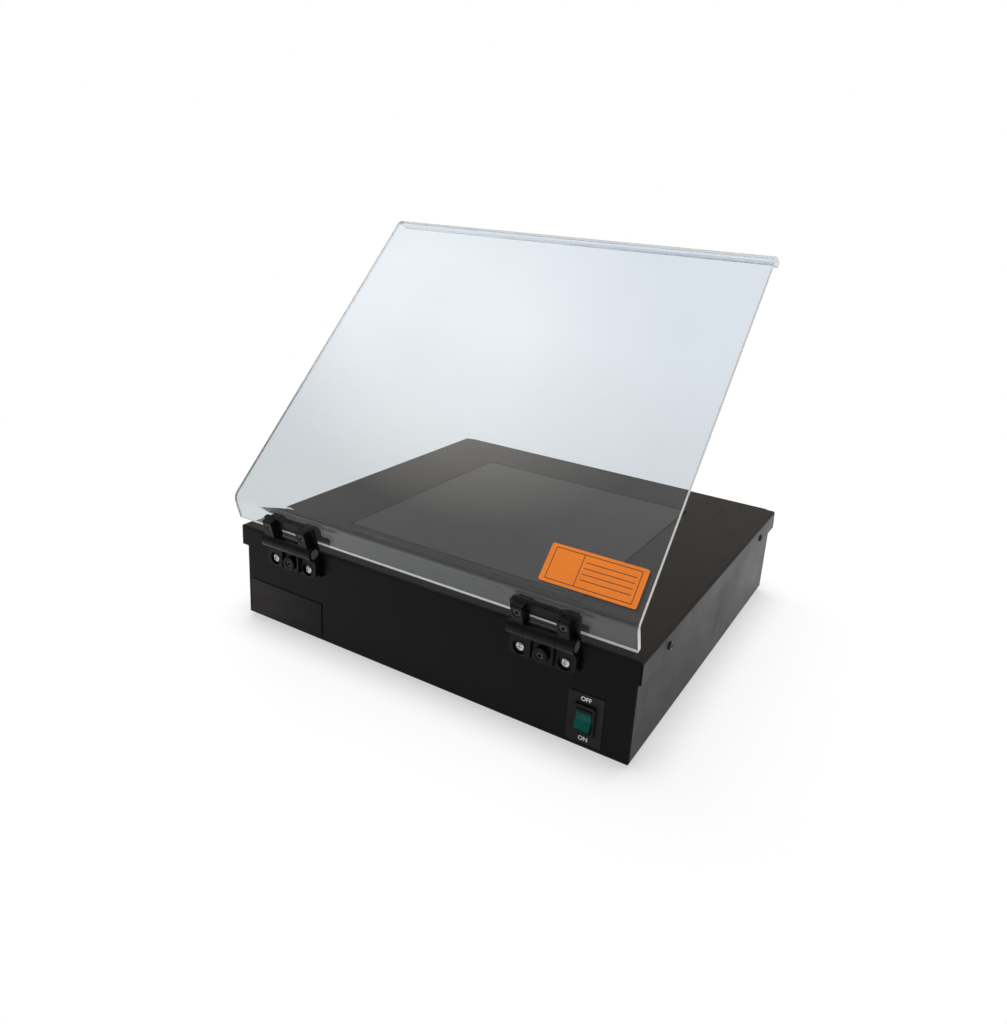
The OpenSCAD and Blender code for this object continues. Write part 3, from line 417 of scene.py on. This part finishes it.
def frostCoverEdges(node, look):
    low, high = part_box(node.name)
    node.data.materials.append(finishes["sawnAcrylicEdge"])
    faces, vertices = node.data.polygons, node.data.vertices
    sides = {face.index for face in faces if abs(face.normal.x) > look["sideways"] and min(
        abs(face.center.x - low.x), abs(face.center.x - high.x)) < look["sideReach"]}
    # an end is as long as the cover is wide, and only as high as the sheet is thick
    ends = set()
    for face in faces:
        corners = [vertices[v].co for v in face.vertices]
        spanX = max(c.x for c in corners) - min(c.x for c in corners)
        if spanX > look["fullWidth"] * (high.x - low.x):
            across = max(math.hypot(a.y - b.y, a.z - b.z) for a in corners for b in corners)
            if abs(across - look["sheetThickness"]) < look["thicknessSlack"]:
                ends.add(face.index)
    for index in sides | ends:
        faces[index].material_index = 1
    print("cover edges:", len(sides), "side faces and", len(ends), "end faces")


frostCoverEdges(nodes["cover_panel"], coverEdges)
nodes["cover_panel"].visible_shadow = False  # light passes through it to the lid


def addObject(name, mesh, material):
    mesh.name = name
    mesh.materials.clear()
    mesh.materials.append(material)
    piece = bpy.data.objects.new(name, mesh)
    bpy.context.scene.collection.objects.link(piece)
    return piece


# Words of the switch, printed on its plate. A capital is capShare of the font's size high
switchWords = dict(
    height=0.0029, capShare=0.7, weight=0.0001, thickness=0.00006, margin=0.0036)


def printWord(word, middle, look, material):
    curve = bpy.data.curves.new(word + "Print", "FONT")
    curve.body, curve.size = word, look["height"] / look["capShare"]
    curve.extrude, curve.offset = look["thickness"] / 2, look["weight"]
    curve.align_x, curve.align_y = "CENTER", "CENTER"
    maker = bpy.data.objects.new(word + "Print", curve)
    bpy.context.scene.collection.objects.link(maker)
    bpy.context.view_layer.update()
    mesh = bpy.data.meshes.new_from_object(maker)
    bpy.data.objects.remove(maker)
    low = Vector([min(v.co[i] for v in mesh.vertices) for i in range(3)])
    high = Vector([max(v.co[i] for v in mesh.vertices) for i in range(3)])
    mesh.transform(Matrix.Translation(-(low + high) / 2))
    mesh.transform(Matrix.Rotation(math.radians(90), 4, "X"))  # upright, facing the front
    mesh.transform(Matrix.Translation(middle))
    piece = addObject("switchWord" + word, mesh, material)
    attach(piece, "housing")


plateLow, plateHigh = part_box("switch_plate")
plateMiddle = (plateLow + plateHigh) / 2
for word, height in (("OFF", plateHigh.z - switchWords["margin"]),
                     ("ON", plateLow.z + switchWords["margin"])):
    printWord(word, Vector((plateMiddle.x, plateLow.y, height)), switchWords,
              finishes["whiteInk"])
print("switch words printed")


# Black rules on the cover's blank label: a frame, a divider and lines to write on
labelRules = dict(
    inset=0.0022, width=0.00045, thickness=0.00004, dividerShare=0.34, lineInset=0.0022,
    lineHeights=(0.24, 0.42, 0.60, 0.78))


def ruleLabel(node, look, material):
    # the label's upper face is a rectangle with one pair of sides along X
    face = max(node.data.polygons, key=lambda f: f.area * (f.normal.z > 0.1))
    along, normal = Vector((1, 0, 0)), face.normal.copy()
    up = normal.cross(along)
    corners = [node.data.vertices[v].co for v in face.vertices]

    def span(axis):
        reach = [corner.dot(axis) for corner in corners]
        return min(reach), max(reach)

    (left, right), (bottom, top) = span(along), span(up)
    middle = (along * (left + right) + up * (bottom + top)) / 2 + normal * corners[0].dot(normal)
    frameW, frameH = (right - left) / 2 - look["inset"], (top - bottom) / 2 - look["inset"]
    line = look["width"] / 2
    divider = frameW * (2 * look["dividerShare"] - 1)
    rules = [(-frameW, frameW, y - line, y + line) for y in (-frameH, frameH)]
    rules += [(x - line, x + line, -frameH, frameH) for x in (-frameW, divider, frameW)]
    rules += [(divider + look["lineInset"], frameW - look["lineInset"], y - line, y + line)
              for y in (frameH * (2 * share - 1) for share in look["lineHeights"])]
    shape = bmesh.new()
    for left, right, low, high in rules:
        for vertex in bmesh.ops.create_cube(shape, size=1.0)["verts"]:
            x, y, z = vertex.co
            vertex.co = (middle + along * (left + (right - left) * (x + 0.5))
                         + up * (low + (high - low) * (y + 0.5))
                         + normal * look["thickness"] * (z + 0.5))
    mesh = bpy.data.meshes.new("labelRules")
    shape.to_mesh(mesh)
    shape.free()
    piece = addObject("labelRules", mesh, material)
    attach(piece, "cover")


ruleLabel(nodes["cover_label"], labelRules, finishes["blackInk"])
print("label ruled")


# Studio: a pale floor, a soft sky, two lamps, and a board for the cover to mirror
def bareRecipe(name):
    # a material with nothing before its output
    recipe = Recipe(bpy.data.materials.new(name))
    recipe.tree.nodes.remove(recipe.tree.nodes["Principled BSDF"])
    recipe.owner.cycles.emission_sampling = "NONE"  # shown, and no lamp
    return recipe


def addSheet(name, size, place, recipe, surface):
    # a flat sheet, with the shader of its surface
    recipe.feed(recipe.tree.nodes["Material Output"].inputs["Surface"], surface)
    mesh = bpy.data.meshes.new(name)
    shape = bmesh.new()
    bmesh.ops.create_grid(shape, x_segments=1, y_segments=1, size=0.5)
    shape.transform(Matrix.Diagonal((*size, 1.0, 1.0)))
    shape.to_mesh(mesh)
    shape.free()
    sheet = addObject(name, mesh, recipe.owner)
    sheet.location = place
    return sheet


floorLook = dict(
    size=(60.0, 60.0), colour=(0.80, 0.80, 0.80), shownColour=(0.150, 0.154, 0.159), glow=0.85,
    plainFrom=0.25, plainTo=0.8, contactReach=0.032, contactSamples=8, contactFrom=0.45,
    contactTo=0.95, contactShade=0.50, contactGlow=0.35)


def makeFloor(look):
    recipe = bareRecipe("paleFloor")
    seen = recipe.rays("Is Camera Ray", "Is Glossy Ray", "Is Transmission Ray")
    matte = recipe.node("ShaderNodeBsdfDiffuse", None, {"Color": opaque(look["colour"])})
    glow = recipe.node("ShaderNodeEmission", None, {"Strength": look["glow"]})
    shown = recipe.node("ShaderNodeBsdfDiffuse", None, {"Color": opaque(look["shownColour"])})
    both = recipe.node("ShaderNodeAddShader", None, {0: shown, 1: glow})
    # away from the object the shown floor is plain white, with no far edge
    place = recipe.node("ShaderNodeTexCoord", out="Object")
    plain = recipe.ranged(recipe.length(place), look["plainFrom"], look["plainTo"], 0.0, 1.0)
    white = recipe.node("ShaderNodeEmission", None, {"Strength": 1.0})
    # painted shade: the tight dark line where the object stands, from an occlusion node
    near = recipe.node("ShaderNodeAmbientOcclusion", {"samples": look["contactSamples"]},
                       {"Distance": look["contactReach"]}, out="AO")
    touching = recipe.ranged(
        near, look["contactFrom"], look["contactTo"], look["contactShade"], 0.0)
    dim = recipe.node("ShaderNodeEmission", None, {"Strength": look["contactGlow"]})
    shaded = recipe.node("ShaderNodeMixShader", None, {"Fac": touching, 1: both, 2: dim})
    pale = recipe.node("ShaderNodeMixShader", None, {"Fac": plain, 1: shaded, 2: white})
    mixed = recipe.node("ShaderNodeMixShader", None, {"Fac": seen, 1: matte, 2: pale})
    floor = addSheet("floor", look["size"], (0, 0, 0), recipe, mixed)


# glowTo and glowEnd are shares of the board's size, away from its middle
boardLook = dict(
    place=(-0.86, -0.33, 1.3), size=(1.25, 0.95), colour=(1.0, 0.93, 0.85), glow=2.4,
    glowTo=0.2, glowEnd=0.5)


def makeBoard(look):
    # a soft, slightly warm board overhead, which only mirrors and clear pieces see
    recipe = bareRecipe("softBoard")
    place = recipe.node("ShaderNodeTexCoord", out="Object")
    wide, deep = look["size"]
    within = recipe.node("ShaderNodeVectorMath", {"operation": "MULTIPLY"},
                         {0: place, 1: (1 / wide, 1 / deep, 0.0)})
    share = recipe.ranged(recipe.length(within), look["glowTo"], look["glowEnd"], 1.0, 0.0)
    clear = recipe.node("ShaderNodeBsdfTransparent")
    glow = recipe.node("ShaderNodeEmission", None,
                       {"Color": opaque(look["colour"]), "Strength": look["glow"]})
    mixed = recipe.node("ShaderNodeMixShader", None, {"Fac": share, 1: clear, 2: glow})
    board = addSheet("softBoard", look["size"], look["place"], recipe, mixed)
    board.visible_camera = board.visible_diffuse = board.visible_shadow = False


# level is that of the left and the rear, sideLevel of the right and frontLevel of the
# front, and topExtra is added overhead
skyLook = dict(
    colour=(1.0, 0.96, 0.915), level=0.53, sideLevel=0.88, frontLevel=0.33, topExtra=0.38)


def makeSky(look):
    world = bpy.data.worlds.new("studio")
    bpy.context.scene.world = world
    recipe = Recipe(world)
    seen = recipe.rays("Is Camera Ray", "Is Transmission Ray")
    right = recipe.along("Generated", "X").highest(0.0)
    front = (0.0 - recipe.along("Generated", "Y")).highest(0.0)
    top = recipe.along("Generated", "Z").highest(0.0)
    level = look["level"] + (look["sideLevel"] - look["level"]) * right
    level = level - (look["level"] - look["frontLevel"]) * front
    level = level + look["topExtra"] * top ** 2.0
    background = recipe.tree.nodes["Background"]
    recipe.feed(background.inputs["Color"],
                recipe.blend(seen, opaque(look["colour"]), (1.0, 1.0, 1.0, 1.0)))
    recipe.feed(background.inputs["Strength"], level * (1.0 - seen) + seen)


lamps = {
    "keyLamp": dict(place=(-0.95, 0.25, 1.4), size=1.2, power=16.0),
    "fillLamp": dict(place=(1.6, 0.4, 0.9), size=1.2, power=3.0),
}
lampAim = (0, 0, 0.08)


def addLamp(name, look):
    lamp = bpy.data.lights.new(name, "AREA")
    lamp.shape, lamp.size, lamp.energy = "SQUARE", look["size"], look["power"]
    holder = bpy.data.objects.new(name, lamp)
    holder.location = look["place"]
    holder.rotation_euler = (
        Vector(lampAim) - Vector(look["place"])).to_track_quat("-Z", "Y").to_euler()
    # the board is what shines back
    holder.visible_glossy = holder.visible_transmission = False
    bpy.context.scene.collection.objects.link(holder)


makeFloor(floorLook)
makeBoard(boardLook)
makeSky(skyLook)
for name, look in lamps.items():
    addLamp(name, look)
print("studio lit")

cameraLook = dict(
    place=(0.30203, -0.55394, 0.33114), turn=(73.017, -3.844, 29.996), lens=29.02,
    sensorWidth=36.0, shift=(-0.0240, -0.0636), clipStart=0.01)
camera = bpy.data.cameras.new("camera")
camera.lens, camera.sensor_width = cameraLook["lens"], cameraLook["sensorWidth"]
camera.shift_x, camera.shift_y = cameraLook["shift"]
camera.clip_start = cameraLook["clipStart"]
cameraHolder = bpy.data.objects.new("camera", camera)
cameraHolder.location = cameraLook["place"]
cameraHolder.rotation_euler = [math.radians(a) for a in cameraLook["turn"]]
bpy.context.scene.collection.objects.link(cameraHolder)
bpy.context.scene.camera = cameraHolder
bpy.context.scene.view_settings.view_transform = "Standard"
